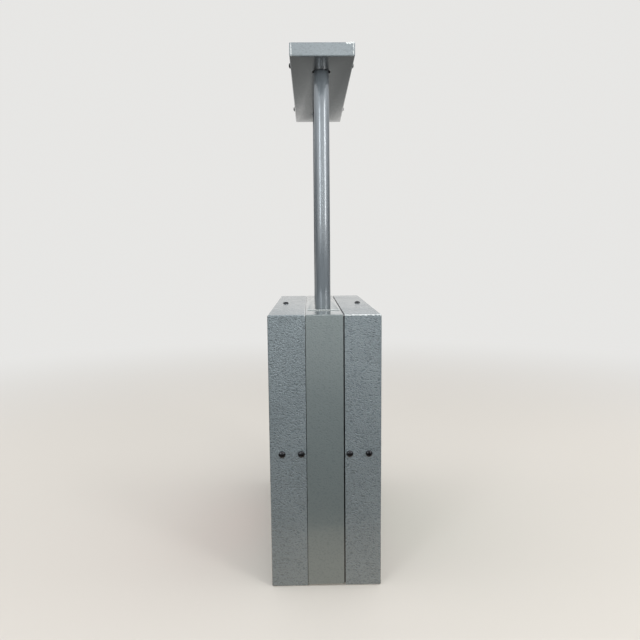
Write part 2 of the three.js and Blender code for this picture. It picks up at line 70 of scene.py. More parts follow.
level = Vector((math.sin(turn), math.cos(turn), 0))
down = forward.cross(level)
right = math.cos(roll) * level + math.sin(roll) * down
up = math.sin(roll) * level - math.cos(roll) * down
camera = bpy.data.objects.new("camera", bpy.data.cameras.new("camera"))
camera.data.lens = CAMERA_LENS
camera_stance = Matrix((right, up, -forward)).transposed().to_4x4()
camera.matrix_world = Matrix.Translation(CAMERA_PLACE) @ camera_stance
bpy.context.scene.collection.objects.link(camera)
bpy.context.scene.camera = camera

# ---------------------------------------------------------------- studio
# A pale floor that runs up into a pale round backdrop. Light comes from a pale sky that is dim below and
# flagged off at both sides, from two tall lamps beside the camera, which draw the highlights down the tubes,
# from others above, in front and at the faces, and from one just under the floor, for what it throws back.
BACKDROP = (0.80, 0.795, 0.78, 1)
FLOOR_COLOUR = (0.60, 0.555, 0.50, 1)
SKY_TOP = (0.96, 1.0, 1.04, 1)
SKY_LOW = (0.030, 0.032, 0.034, 1)
SKY_BEHIND = (0.33, 0.34, 0.335, 1)
SKY_FLAG = (0.07, 0.073, 0.076, 1)
MIDDLE = Vector((0, 0, 0.38))


def node(tree, kind, inputs=None, **settings):
    """Adds a shader node. Inputs are values, or sockets that are linked."""
    made = tree.nodes.new("ShaderNode" + kind)
    for key, value in settings.items():
        setattr(made, key, value)
    for key, value in (inputs or {}).items():
        if isinstance(value, bpy.types.NodeSocket):
            tree.links.new(value, made.inputs[key])
        else:
            made.inputs[key].default_value = value
    return made


def remap(tree, value, low, high, to_low=0.0, to_high=1.0):
    """A smooth step of a value from one range to another."""
    made = node(tree, "MapRange", {"Value": value, "From Min": low, "From Max": high,
                                   "To Min": to_low, "To Max": to_high}, interpolation_type="SMOOTHSTEP")
    return made.outputs["Result"]


def mixed(tree, share, first, second):
    """A colour between two others."""
    return node(tree, "Mix", {0: share, 6: first, 7: second}, data_type="RGBA").outputs[2]


def combined(tree, operation, first, second=0.0, third=0.0):
    """Values put together by a Math operation."""
    return node(tree, "Math", {0: first, 1: second, 2: third}, operation=operation).outputs[0]


def axes_of(tree, place):
    """The x, y and z of a place."""
    parts = node(tree, "SeparateXYZ", {"Vector": place})
    return parts.outputs["X"], parts.outputs["Y"], parts.outputs["Z"]


bowl_mesh = bmesh.new()
bowl_line = [(0, 0), (2.6, 0), (3.1, 0.1), (3.5, 0.45), (3.7, 1.0), (3.7, 4.0)]
bowl_verts = [bowl_mesh.verts.new((r, 0, z)) for r, z in bowl_line]
bowl_edges = [bowl_mesh.edges.new(pair) for pair in zip(bowl_verts, bowl_verts[1:])]
bmesh.ops.spin(bowl_mesh, geom=bowl_verts + bowl_edges, cent=(0, 0, 0), axis=(0, 0, 1), angle=math.tau,
               steps=96, use_merge=True, use_duplicate=False)
bmesh.ops.remove_doubles(bowl_mesh, verts=bowl_mesh.verts, dist=0.0001)
bowl = bpy.data.objects.new("floor_and_backdrop", bpy.data.meshes.new("floor_and_backdrop"))
bowl_mesh.to_mesh(bowl.data)
bowl_mesh.free()
bowl.visible_diffuse = bowl.visible_glossy = bowl.visible_shadow = False
bpy.context.scene.collection.objects.link(bowl)
FLOOR_FADES = (0.7, 2.4)
bowl_paint = bpy.data.materials.new("floor_and_backdrop")
bowl_paint.use_nodes = True
tree = bowl_paint.node_tree
floor_shader = tree.nodes["Principled BSDF"]
floor_shader.inputs["Base Color"].default_value = FLOOR_COLOUR
floor_shader.inputs["Roughness"].default_value = 0.9
glow = node(tree, "Emission", {"Color": BACKDROP, "Strength": 1.0})
out = node(tree, "VectorMath", {0: node(tree, "TexCoord").outputs["Object"]}, operation="LENGTH")
join = node(tree, "MixShader", {0: remap(tree, out.outputs["Value"], *FLOOR_FADES),
                                1: floor_shader.outputs["BSDF"], 2: glow.outputs["Emission"]})
tree.links.new(join.outputs["Shader"], tree.nodes["Material Output"].inputs["Surface"])
bowl.data.materials.append(bowl_paint)
bowl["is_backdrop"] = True

world = bpy.data.worlds.new("sky")
world.use_nodes = True
tree = world.node_tree
toward, _, height = axes_of(tree, node(tree, "TexCoord").outputs["Generated"])
flags = combined(tree, "MULTIPLY", remap(tree, toward, 0.30, 0.10), remap(tree, toward, -0.97, -0.90))
flags = combined(tree, "MULTIPLY", flags, remap(tree, height, 0.60, 0.35))
flags = combined(tree, "MULTIPLY", flags, remap(tree, height, -0.18, -0.08))
sky = mixed(tree, flags, BACKDROP, SKY_FLAG)
low_sky = mixed(tree, remap(tree, toward, -0.3, -0.7), SKY_LOW, SKY_BEHIND)
sky = mixed(tree, remap(tree, height, -0.21, -0.03), low_sky, sky)
sky = mixed(tree, remap(tree, height, 0.0, 0.8), sky, SKY_TOP)
tree.links.new(sky, tree.nodes["Background"].inputs["Color"])
bpy.context.scene.world = world
bpy.context.scene.view_settings.view_transform = "Standard"


def softbox(name, place, wide, tall, power, colour=(1, 1, 1), aim=MIDDLE, spread=180, mirrored=True):
    """An area lamp that faces the object. One that isn't mirrored shows in no reflection."""
    lamp = bpy.data.lights.new(name, "AREA")
    lamp.shape = "RECTANGLE"
    lamp.size = wide
    lamp.size_y = tall
    lamp.energy = power
    lamp.color = colour
    lamp.spread = math.radians(spread)
    holder = bpy.data.objects.new(name, lamp)
    holder.location = place
    holder.rotation_euler = (aim - Vector(place)).to_track_quat("-Z", "Y").to_euler()
    holder.visible_camera = False
    holder.visible_glossy = mirrored
    bpy.context.scene.collection.objects.link(holder)


softbox("lamp_left", (1.60, -0.98, 1.00), 0.40, 1.15, 7.0, (0.86, 0.94, 1.0))
softbox("lamp_right", (1.30, 1.24, 1.00), 0.42, 1.15, 8.5, (0.95, 0.97, 0.98))
softbox("lamp_above", (0.5, 0.3, 2.6), 1.4, 1.4, 12)
softbox("lamp_front", (1.10, 0.10, 0.74), 0.3, 0.3, 0.95, (0.90, 0.98, 1.0), aim=Vector((0.1, 0, 0.62)),
        spread=66, mirrored=False)
softbox("lamp_at_front_face", (0, -2.2, 1.2), 1.0, 1.0, 10, mirrored=False)
softbox("lamp_at_rear_face", (0, 2.2, 1.2), 1.0, 1.0, 10, mirrored=False)
softbox("floor_bounce", (0, 0, -0.004), 0.7, 0.7, 1.0, (1.0, 0.86, 0.68))

# ---------------------------------------------------------------- centre band
# The middle slab of the box: one strip of 1.5 mm sheet folded into a square ring and welded, then sprayed
# with hammer-finish enamel, thinner here than on the covers. Both covers butt against its edges.
SHEET = 0.0015
BAND_FOLD = 0.0016
BAND_TOP_FOLD = (0.395, 0.399)
BAND_TUBE_HOLE = 0.0116
# Pale metal where paint is rubbed through; on the covers it is also the colour of a painted highlight.
PALE_METAL_AND_HIGHLIGHT = (0.66, 0.66, 0.64, 1)
# Black for the painted shade on faces that look down.
PAINTED_SHADE_BLACK = (0.02, 0.02, 0.02, 1)


def noise(tree, place, size, detail=2.0, rough=0.5):
    """Noise whose blotches are about that size, in metres."""
    grain = {"Vector": place, "Scale": 1 / size, "Detail": detail, "Roughness": rough}
    return node(tree, "TexNoise", grain).outputs["Fac"]


def new_material(name, **finish):
    """A material, its tree, its shader and its object coordinates. The finish goes on the shader's sockets."""
    material = bpy.data.materials.new(name)
    material.use_nodes = True
    tree = material.node_tree
    shader = tree.nodes["Principled BSDF"]
    for key, value in finish.items():
        socket = key.replace("_", " ").title().replace("Ior", "IOR")
        shader.inputs[socket].default_value = value
    return material, tree, shader, node(tree, "TexCoord").outputs["Object"]


def feed(tree, shader, **sockets):
    """Links sockets to the shader's inputs."""
    for key, socket in sockets.items():
        tree.links.new(socket, shader.inputs[key.replace("_", " ").title()])


def bumped(tree, height, depth, strength=1.0):
    """A normal from a height of 0 to 1 that stands for that depth."""
    return node(tree, "Bump", {"Height": height, "Distance": depth, "Strength": strength}).outputs["Normal"]


def edge_distance(tree, place, low, high):
    """How far a place on a block's surface is from the block's nearest edge."""
    gaps = []
    for i, along in enumerate(axes_of(tree, place)):
        off_centre = combined(tree, "ABSOLUTE", combined(tree, "SUBTRACT", along, (low[i] + high[i]) / 2))
        gaps.append(combined(tree, "SUBTRACT", (high[i] - low[i]) / 2, off_centre))
    first, second, third = gaps
    nearer = combined(tree, "MINIMUM", first, second)
    farther = combined(tree, "MAXIMUM", first, second)
    return combined(tree, "MAXIMUM", nearer, combined(tree, "MINIMUM", farther, third))


def hammered_enamel(name, dark, light, wave, depth, wear_and_highlight=None, gloss=0.30, coat=0.9, underside_shade=0.0):
    """Grey enamel that dried in a skin of short ripples, which levelled out where it lay flat on top. Wave is
    the ripples' spacing and depth their height. Wear and highlight gives how far it is rubbed or chipped to
    pale metal, 0 to 1, and on the covers also the painted highlight along their folds. Gloss is the clear
    skin's roughness and coat its weight. Underside shade is painted shade: how much darker it is where it
    faces down."""
    material, tree, shader, place = new_material(name, metallic=0.12, coat_weight=coat, coat_roughness=gloss)
    drawn_out = node(tree, "Mapping", {"Vector": place, "Scale": (0.62, 0.62, 1)}).outputs["Vector"]
    swell = noise(tree, drawn_out, wave, detail=1.2)
    crease = combined(tree, "ABSOLUTE", combined(tree, "MULTIPLY_ADD", swell, 2.0, -1.0))
    ripple = combined(tree, "MULTIPLY_ADD", crease, -2.0, 1.0)
    grain = noise(tree, place, 0.4 * wave)
    height = combined(tree, "MULTIPLY_ADD", grain, 0.3, ripple)
    patch = noise(tree, place, 0.05, detail=4.0)
    grey = mixed(tree, remap(tree, height, 0.2, 1.2), dark, light)
    colour = mixed(tree, remap(tree, patch, 0.35, 0.75, 0.0, 0.35), grey, dark)
    roughness = remap(tree, patch, 0.3, 0.8, gloss, gloss + 0.12)
    if wear_and_highlight:
        # Pale metal where the paint is worn, and on the covers also a painted highlight along the folds.
        rubbed = wear_and_highlight(tree, place)
        colour = mixed(tree, rubbed, colour, PALE_METAL_AND_HIGHLIGHT)
    upward = axes_of(tree, node(tree, "TexCoord").outputs["Normal"])[2]
    # Painted shade: the colour darkens where the surface faces down.
    if underside_shade:
        colour = mixed(tree, remap(tree, upward, -0.7, -0.95, 0.0, underside_shade), colour, PAINTED_SHADE_BLACK)
    relief = bumped(tree, height, depth, remap(tree, upward, 0.6, 0.95, 1.0, 0.35))
    feed(tree, shader, base_color=colour, roughness=roughness, normal=relief)
    return material


def fitted_block(low, high):
    """A bmesh block between two corners."""
    bm = bmesh.new()
    bmesh.ops.create_cube(bm, size=1)
    bmesh.ops.scale(bm, vec=high - low, verts=bm.verts)
    bmesh.ops.translate(bm, vec=(high + low) / 2, verts=bm.verts)
    return bm


def ease(bm, width, angle=30, segments=2):
    """Rounds off every edge that is sharper than the angle."""
    sharp = [e for e in bm.edges if e.is_manifold and e.calc_face_angle() > math.radians(angle)]
    bmesh.ops.bevel(bm, geom=sharp, offset=width, offset_type="OFFSET", segments=segments, profile=0.5,
                    affect="EDGES", clamp_overlap=True, material=-1)


def folded_sheet(low, high, open_sides, fold, thickness=SHEET):
    """A box of thin sheet with rounded folds. Open sides are directions whose walls are left out."""
    bm = fitted_block(low, high)
    missing = [f for f in bm.faces if any(f.normal.dot(Vector(side)) > 0.9 for side in open_sides)]
    bmesh.ops.delete(bm, geom=missing, context="FACES")
    folds = [e for e in bm.edges if len(e.link_faces) == 2]
    bmesh.ops.bevel(bm, geom=folds, offset=fold, offset_type="OFFSET", segments=5, profile=0.5,
                    affect="EDGES", clamp_overlap=True, material=-1)
    bmesh.ops.recalc_face_normals(bm, faces=bm.faces)
    bmesh.ops.solidify(bm, geom=bm.faces, thickness=thickness)
    bmesh.ops.recalc_face_normals(bm, faces=bm.faces)
    return shaded_by_shape(bm)


def shaded_by_shape(bm):
    """Flat shading on the flat sides of a block, smooth shading on its folds and rounded edges."""
    for face in bm.faces:
        face.smooth = max(abs(part) for part in face.normal) < 0.999
    return bm


def to_object(name, bm, material, crease=40):
    """An object at the origin with that mesh, smooth but for edges sharper than the crease angle."""
    mesh = bpy.data.meshes.new(name)
    bm.to_mesh(mesh)
    bm.free()
    mesh.set_sharp_from_angle(angle=math.radians(crease))
    made = bpy.data.objects.new(name, mesh)
    bpy.context.scene.collection.objects.link(made)
    if material:
        made.data.materials.append(material)
    return made


def fit_piece(piece, body, slot=None, *replaced):
    """Hangs a finished piece on its body and hides what it stands for. The slot, the name of its finish, is
    not used.
    """
    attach(piece, body)
    if replaced:
        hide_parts(*replaced)
    return piece


def cut_away(piece, cutter, crease):
    """Takes the cutter's shape out of a piece and throws the cutter away."""
    cut = piece.modifiers.new("cut", "BOOLEAN")
    cut.object = cutter
    cut.solver = "EXACT"
    graph = bpy.context.evaluated_depsgraph_get()
    mesh = bpy.data.meshes.new_from_object(piece.evaluated_get(graph))
    mesh.set_sharp_from_angle(angle=math.radians(crease))
    piece.modifiers.clear()
    piece.data = mesh
    bpy.data.objects.remove(cutter)


def drilled(piece, holes, reach=0.02):
    """Cuts round holes, each (centre, direction, radius), right through a piece."""
    for centre, direction, radius in holes:
        bm = bmesh.new()
        turned_up = Vector(direction).to_track_quat("Z", "Y").to_matrix().to_4x4()
        bmesh.ops.create_cone(bm, cap_ends=True, segments=64, radius1=radius, radius2=radius, depth=reach,
                              matrix=Matrix.Translation(Vector(centre)) @ turned_up)
        for face in bm.faces:
            face.smooth = len(face.verts) == 4
        cut_away(piece, to_object("cutter", bm, None), crease=30)


def band_wear(tree, place):
    """Where the band's paint is rubbed through: thinly along its top folds."""
    edge = edge_distance(tree, place, *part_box("centre_band"))
    height = axes_of(tree, place)[2]
    at_top = remap(tree, height, *BAND_TOP_FOLD)
    ragged = combined(tree, "MULTIPLY_ADD", noise(tree, place, 0.004, detail=4.0), 0.004, edge)
    return combined(tree, "MULTIPLY", remap(tree, ragged, 0.0026, 0.0016, 0.0, 0.6), at_top)


band_enamel = hammered_enamel("band_enamel", (0.128, 0.147, 0.146, 1), (0.152, 0.174, 0.172, 1),
                              wave=0.0026, depth=0.00016, wear_and_highlight=band_wear, gloss=0.16)
TUBE_CENTRES = [sum(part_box(f"hanger_tube_{hand}"), Vector()) / 2 for hand in ("left", "right")]
low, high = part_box("centre_band")
band_ring = folded_sheet(low, high, [(0, 1, 0), (0, -1, 0)], BAND_FOLD)
band = to_object("centre_band_sheet", band_ring, band_enamel)
drilled(band, [((tube.x, 0, high.z), (0, 0, 1), BAND_TUBE_HOLE) for tube in TUBE_CENTRES])
fit_piece(band, "hanging_frame", "band_enamel", "centre_band")

# ---------------------------------------------------------------- hanger plate
# A thin doubler that spreads the tubes' pull over the band's top. It is welded down and sprayed with it, and
# its rounded edges are rubbed bright.
PLATE_EDGE = 0.0009
PLATE_TUBE_HOLE = 0.01145


def plate_wear(tree, place):
    """The plate's paint is thin all along its edge."""
    edge = edge_distance(tree, place, *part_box("hanger_plate"))
    ragged = combined(tree, "MULTIPLY_ADD", noise(tree, place, 0.006, detail=4.0), 0.0012, edge)
    return remap(tree, ragged, 0.0022, 0.0012, 0.0, 0.55)


plate_enamel = hammered_enamel("plate_enamel", (0.118, 0.140, 0.136, 1), (0.140, 0.165, 0.160, 1),
                               wave=0.0030, depth=0.00006, wear_and_highlight=plate_wear, gloss=0.16)
low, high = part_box("hanger_plate")
low.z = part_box("centre_band")[1].z
plate_mesh = fitted_block(low, high)
ease(plate_mesh, PLATE_EDGE, segments=3)
hanger_plate = to_object("hanger_plate_sheet", shaded_by_shape(plate_mesh), plate_enamel)
drilled(hanger_plate, [((tube.x, 0, high.z), (0, 0, 1), PLATE_TUBE_HOLE) for tube in TUBE_CENTRES])
fit_piece(hanger_plate, "hanging_frame", "band_enamel", "hanger_plate")

# ---------------------------------------------------------------- covers
# Front and rear covers: trays of 1.5 mm sheet with a round opening in the face. Their enamel went on thick, so
# it has the deepest pits of the whole head.
COVER_FOLD = 0.0024
COVER_TOP_FOLD = (0.3960, 0.3985)
LENS_OPENING = 0.150
LENS_CENTRE_Z = 0.200


def cover_wear_and_highlight(tree, place):
    """Where the covers' paint is rubbed faintly along every fold, with a painted highlight along the rear
    cover's top folds and a pale line along the top of the front cover's rim that is painted highlight and
    wear."""
    front_low, front_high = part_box("front_cover")
    edge = edge_distance(tree, place, front_low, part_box("rear_cover")[1])
    across, height = axes_of(tree, place)[1:]
    ragged = combined(tree, "MULTIPLY_ADD", noise(tree, place, 0.0035, detail=4.0), 0.003, edge)
    faint = remap(tree, ragged, 0.0026, 0.0012, 0.0, 0.22)
    # Painted highlight: a strong pale line along the rear cover's top folds.
    highlight_at_fold = remap(tree, ragged, 0.0036, 0.0020, 0.0, 0.85)
    at_top = remap(tree, height, *COVER_TOP_FOLD)
    at_rear = remap(tree, across, 0.0, 0.02)
    rear_fold_highlight = combined(tree, "MULTIPLY", highlight_at_fold, combined(tree, "MULTIPLY", at_top, at_rear))
    # Painted highlight and wear: a pale line along the top of the front cover's rim.
    off_rim = combined(tree, "SUBTRACT", across, front_high.y - 0.0004)
    rim = combined(tree, "ABSOLUTE", off_rim)
    rim_highlight_and_wear = combined(tree, "MULTIPLY", remap(tree, rim, 0.0010, 0.0006, 0.0, 0.5), at_top)
    return combined(tree, "MAXIMUM", faint, combined(tree, "MAXIMUM", rear_fold_highlight, rim_highlight_and_wear))


cover_enamel = hammered_enamel("cover_enamel", (0.108, 0.128, 0.136, 1), (0.176, 0.202, 0.212, 1),
                               wave=0.0024, depth=0.00080, wear_and_highlight=cover_wear_and_highlight, gloss=0.20, coat=0.65)
for side, outward in (("front", -1), ("rear", 1)):
    low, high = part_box(f"{side}_cover")
    cover_tray = folded_sheet(low, high, [(0, -outward, 0)], COVER_FOLD)
    cover = to_object(f"{side}_cover_shell", cover_tray, cover_enamel)
    face = low.y if outward < 0 else high.y
    drilled(cover, [((0, face, LENS_CENTRE_Z), (0, 1, 0), LENS_OPENING)])
    fit_piece(cover, f"{side}_cover_unit", "cover_enamel", f"{side}_cover")

# ---------------------------------------------------------------- tubes
# Two lengths of steel conduit between the box and the ceiling bracket, open for the supply cable. Their
# enamel is smooth and glossy, so it carries two long highlights.


def turned(profile, centre, direction, steps=64, closed=True):
    """Spins (radius, height) points about a line through the centre into a closed surface."""
    bm = bmesh.new()
    axis = Vector(direction).normalized()
    aside = axis.orthogonal().normalized()
    verts = [bm.verts.new(Vector(centre) + aside * r + axis * h) for r, h in profile]
    pairs = zip(verts, verts[1:] + verts[:1] if closed else verts[1:])
    edges = [bm.edges.new(pair) for pair in pairs]
    bmesh.ops.spin(bm, geom=verts + edges, cent=centre, axis=axis, angle=math.tau, steps=steps,
                   use_merge=True, use_duplicate=False)
    bmesh.ops.remove_doubles(bm, verts=bm.verts, dist=0.000005)
    bmesh.ops.recalc_face_normals(bm, faces=bm.faces)
    for face in bm.faces:
        face.smooth = True
    return bm


def arc(centre, radius, start, end, steps):
    """Points on an arc, from one angle in degrees to another, both ends included."""
    angles = [math.radians(start + (end - start) * i / steps) for i in range(steps + 1)]
    return [(centre[0] + radius * math.cos(a), centre[1] + radius * math.sin(a)) for a in angles]


def smooth_enamel():
    """Silver-grey enamel with faint draw marks along the tube and a little handling wear."""
    material, tree, shader, place = new_material(
        "tube_enamel", metallic=0.5, coat_weight=1.0, coat_roughness=0.10, coat_ior=1.8)
    lengthwise = node(tree, "Mapping", {"Vector": place, "Scale": (1, 1, 0.04)}).outputs["Vector"]
    draw = noise(tree, lengthwise, 0.0012, detail=3.0)
    patch = noise(tree, place, 0.03, detail=4.0)
    grey = mixed(tree, remap(tree, draw, 0.3, 0.7), (0.195, 0.213, 0.230, 1), (0.228, 0.248, 0.266, 1))
    colour = mixed(tree, remap(tree, patch, 0.45, 0.8, 0.0, 0.3), grey, (0.180, 0.195, 0.205, 1))
    feed(tree, shader, base_color=colour, roughness=remap(tree, patch, 0.3, 0.8, 0.34, 0.40),
         normal=bumped(tree, draw, 0.00001))
    return material


tube_enamel = smooth_enamel()
TUBE_RADIUS, TUBE_BORE = 0.01125, 0.00975
for hand, tube in zip(("left", "right"), TUBE_CENTRES):
    low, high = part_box(f"hanger_tube_{hand}")
    length = high.z - low.z
    walls = [(TUBE_BORE, 0), (TUBE_RADIUS, 0), (TUBE_RADIUS, length), (TUBE_BORE, length)]
    tube_mesh = turned(walls, (tube.x, 0, low.z), (0, 0, 1))
    ease(tube_mesh, 0.0003, angle=60)
    tube_piece = to_object(f"hanger_tube_{hand}_drawn", tube_mesh, tube_enamel)
    fit_piece(tube_piece, "hanging_frame", "tube_enamel", f"hanger_tube_{hand}")

# ---------------------------------------------------------------- canopy
# A shallow tray that hides the ceiling bracket and slides down the tubes. Its enamel is like the covers', but
# its greys are lighter, painted light for the light on its near face, and it darkens where it faces down,
# painted shade. It has been knocked about: the paint is gone from its upright corner edges and from one top
# corner.
CANOPY_FOLD = 0.0022
CANOPY_TUBE_HOLE = 0.0134


def canopy_wear(tree, place):
    """Where the canopy's paint is lost: in a line down each upright corner, on the end's side of it, and in a
    bite at one top corner."""
    low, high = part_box("canopy_cover")
    x, y, z = axes_of(tree, place)
    ragged = combined(tree, "MULTIPLY", noise(tree, place, 0.003, detail=4.0), 0.0050)
    end = combined(tree, "SUBTRACT", high.x, combined(tree, "ABSOLUTE", x))
    flank = combined(tree, "SUBTRACT", high.y, combined(tree, "ABSOLUTE", y))
    past_corner = combined(tree, "SUBTRACT", flank, end)
    line_end = combined(tree, "SUBTRACT", past_corner, ragged)
    line_start = remap(tree, past_corner, 0.0018, 0.0021)
    line = combined(tree, "MULTIPLY", line_start, remap(tree, line_end, 0.0004, 0.0))
    line = combined(tree, "MULTIPLY", line, remap(tree, end, 0.0012, 0.0006))
    across = combined(tree, "MULTIPLY", combined(tree, "SUBTRACT", high.y - 0.007, y), 0.35)
    under_top = combined(tree, "SUBTRACT", high.z - 0.0005, z)
    bite = combined(tree, "ADD", under_top, combined(tree, "ABSOLUTE", across))
    in_bite = remap(tree, combined(tree, "SUBTRACT", bite, ragged), 0.0, -0.0006)
    return combined(tree, "MAXIMUM", line, in_bite)


# Lighter greys than the covers': painted light for the light on the near face. Its underside is darkened with
# painted shade.
canopy_enamel = hammered_enamel("canopy_enamel", (0.195, 0.213, 0.222, 1), (0.240, 0.262, 0.272, 1),
                                wave=0.0028, depth=0.00012, wear_and_highlight=canopy_wear, gloss=0.12, underside_shade=0.75)
low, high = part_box("canopy_cover")
canopy = to_object("canopy_tray", folded_sheet(low, high, [(0, 0, 1)], CANOPY_FOLD), canopy_enamel)
drilled(canopy, [((tube.x, 0, low.z), (0, 0, 1), CANOPY_TUBE_HOLE) for tube in TUBE_CENTRES])
fit_piece(canopy, "canopy_unit", "canopy_enamel", "canopy_cover")

# ---------------------------------------------------------------- slotted screws
# Blackened pan-head screws. Those near the seams hold the covers to the liner, those near the faces hold the
# lens frames, and the small ones hold the canopy. Each slot stopped where it was when the screw went tight.


def blackened_steel():
    """Black oxide on polished steel, rubbed lighter in specks."""
    material, tree, shader, place = new_material("blackened_steel", metallic=0.95)
    speck = noise(tree, place, 0.0007, detail=3.0)
    rubbed = remap(tree, speck, 0.60, 0.74)
    colour = mixed(tree, rubbed, (0.045, 0.045, 0.048, 1), (0.30, 0.30, 0.30, 1))
    feed(tree, shader, base_color=colour, roughness=remap(tree, speck, 0.3, 0.7, 0.10, 0.24),
         normal=bumped(tree, speck, 0.00003))
    return material


black_steel = blackened_steel()


def slotted_screw(name, node_name, outward, head, shank, rise, slot_width, slot_angle):
    """A domed slotted screw in the place of a CAD screw, with its head towards outward."""
    low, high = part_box(node_name)
    middle = (low + high) / 2
    outward = Vector(outward)
    reach = Vector([high[i] if outward[i] > 0 else low[i] for i in range(3)])
    seat = Vector([reach[i] - outward[i] * rise if outward[i] else middle[i] for i in range(3)])
    length = (high - low).dot(Vector([abs(v) for v in outward])) - rise
    crown = [(head * math.cos(a), 0.15 * rise + 0.85 * rise * math.sin(a))
             for a in [math.radians(90 * i / 9) for i in range(9)]]
    body = [(0, -length), (0.8 * shank, -length), (shank, -0.92 * length), (shank, 0), (head, 0)]
    screw_mesh = turned(body + crown + [(0, rise)], seat, outward, steps=32, closed=False)
    screw = to_object(name, screw_mesh, black_steel)
    facing = outward.to_track_quat("Z", "Y").to_matrix().to_4x4()
    aim = facing @ Matrix.Rotation(math.radians(slot_angle), 4, "Z")
    slot_size = Matrix.Diagonal((4 * head, slot_width, 1.1 * rise, 1))
    slot_place = Matrix.Translation(seat + outward * rise) @ aim @ slot_size
    slot_mesh = bmesh.new()
    bmesh.ops.create_cube(slot_mesh, size=1, matrix=slot_place)
    cut_away(screw, to_object("cutter", slot_mesh, None), crease=35)
    return screw


COVER_SCREW = {"head": 0.0048, "shank": 0.0025, "rise": 0.0030, "slot_width": 0.0012}
CANOPY_SCREW = {"head": 0.0039, "shank": 0.0020, "rise": 0.0026, "slot_width": 0.0010}
slot_angles = iter((50, 35, 118, 20, 75, 48, 10, 140, 95, 30))
for side in ("front", "rear"):
    for kind in ("cover_screw", "lens_frame_screw"):
        for hand, outward in (("left", (-1, 0, 0)), ("right", (1, 0, 0))):
            name = f"{side}_{kind}_{hand}"
            screw = slotted_screw(f"{name}_black", name, outward, slot_angle=next(slot_angles), **COVER_SCREW)
            fit_piece(screw, f"{side}_cover_unit", "black_steel", name)
    name = f"{side}_lens_frame_screw_top"
    screw = slotted_screw(f"{name}_black", name, (0, 0, 1), slot_angle=next(slot_angles), **COVER_SCREW)
    fit_piece(screw, f"{side}_cover_unit", "black_steel", name)
slot_angles = iter((25, 80, 130, 50))
for side, outward in (("front", (0, -1, 0)), ("rear", (0, 1, 0))):
    for hand in ("left", "right"):
        name = f"canopy_screw_{side}_{hand}"
        screw = slotted_screw(f"{name}_black", name, outward, slot_angle=next(slot_angles), **CANOPY_SCREW)
        fit_piece(screw, "canopy_unit", "black_steel", name)

# ---------------------------------------------------------------- zinc-plated sheet and bar
# What the covers and the canopy hide. The mounting plate, the lens frames and the ceiling bracket keep their
# plain folded shapes, and so does the liner, which is given the screws' black as painted shade so that the
# gaps at the seams read dark. The washers, collars and hexagonal lock nuts at the tubes' ends are made here.
WASHER_RADIUS = 0.018
COLLAR_RADIUS = 0.017


def zinc_plate():
    """Zinc-plated steel: a faint spangle, with dull handling marks."""
    material, tree, shader, place = new_material("zinc_plate", metallic=0.92)
    spangle = node(tree, "TexVoronoi", {"Vector": place, "Scale": 220}).outputs["Color"]
    tone = node(tree, "SeparateColor", {"Color": spangle}).outputs["Red"]
    cloud = noise(tree, place, 0.025, detail=4.0)
    bright = mixed(tree, remap(tree, tone, 0.0, 1.0), (0.42, 0.43, 0.43, 1), (0.52, 0.53, 0.52, 1))
    colour = mixed(tree, remap(tree, cloud, 0.45, 0.75, 0.0, 0.6), bright, (0.33, 0.33, 0.32, 1))
    feed(tree, shader, base_color=colour, roughness=remap(tree, cloud, 0.3, 0.75, 0.32, 0.52),
         normal=bumped(tree, noise(tree, place, 0.0008), 0.00002))
    return material


def repaint(node_name, material):
    """Puts a finish on a part that keeps its own shape."""
    nodes[node_name].data.materials.clear()
    nodes[node_name].data.materials.append(material)


zinc = zinc_plate()
# Painted shade: the liner takes the screws' black so the seam gaps read dark.
repaint("inner_liner", black_steel)
for name in ("mounting_plate", "ceiling_bracket", "front_lens_frame", "rear_lens_frame"):
    repaint(name, zinc)

for hand, tube in zip(("left", "right"), TUBE_CENTRES):
    bore = TUBE_RADIUS + 0.0002
    for part, outer in (("washer", WASHER_RADIUS), ("collar", COLLAR_RADIUS)):
        low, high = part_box(f"tube_{part}_{hand}")
        tall = high.z - low.z
        outline = [(bore, 0), (outer, 0), (outer, tall), (bore, tall)]
        ring_mesh = turned(outline, (tube.x, 0, low.z), (0, 0, 1))
        ease(ring_mesh, 0.0003, angle=60)
        ring = to_object(f"tube_{part}_{hand}_turned", ring_mesh, zinc)
        fit_piece(ring, "hanging_frame", "zinc_steel", f"tube_{part}_{hand}")
    low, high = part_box(f"tube_lock_nut_{hand}")
    nut_mesh = bmesh.new()
    nut_middle = Matrix.Translation((tube.x, 0, (low.z + high.z) / 2))
    nut_place = nut_middle @ Matrix.Rotation(math.radians(30), 4, "Z")
    to_corner = (high.y - low.y) / 2
    bmesh.ops.create_cone(nut_mesh, cap_ends=True, segments=6, radius1=to_corner, radius2=to_corner,
                          depth=high.z - low.z, matrix=nut_place)
    ease(nut_mesh, 0.0006)
    shaded_by_shape(nut_mesh)
    nut = to_object(f"tube_lock_nut_{hand}_hex", nut_mesh, zinc)
    drilled(nut, [((tube.x, 0, low.z), (0, 0, 1), bore)])
    fit_piece(nut, "hanging_frame", "zinc_steel", f"tube_lock_nut_{hand}")

# ---------------------------------------------------------------- rubber parts
# The lens gaskets, black rubber with a flat washer behind the face and a bead round the opening, and the
# bushes that keep the supply cable off the tubes' raw ends.


def black_rubber():
    """Matt black rubber with a grey bloom."""
    material, tree, shader, place = new_material("black_rubber", roughness=0.72)
    bloom = noise(tree, place, 0.012, detail=5.0)
    bloomed = remap(tree, bloom, 0.45, 0.8)
    colour = mixed(tree, bloomed, (0.014, 0.014, 0.015, 1), (0.055, 0.055, 0.053, 1))
    feed(tree, shader, base_color=colour, normal=bumped(tree, noise(tree, place, 0.0006), 0.00004))
    return material


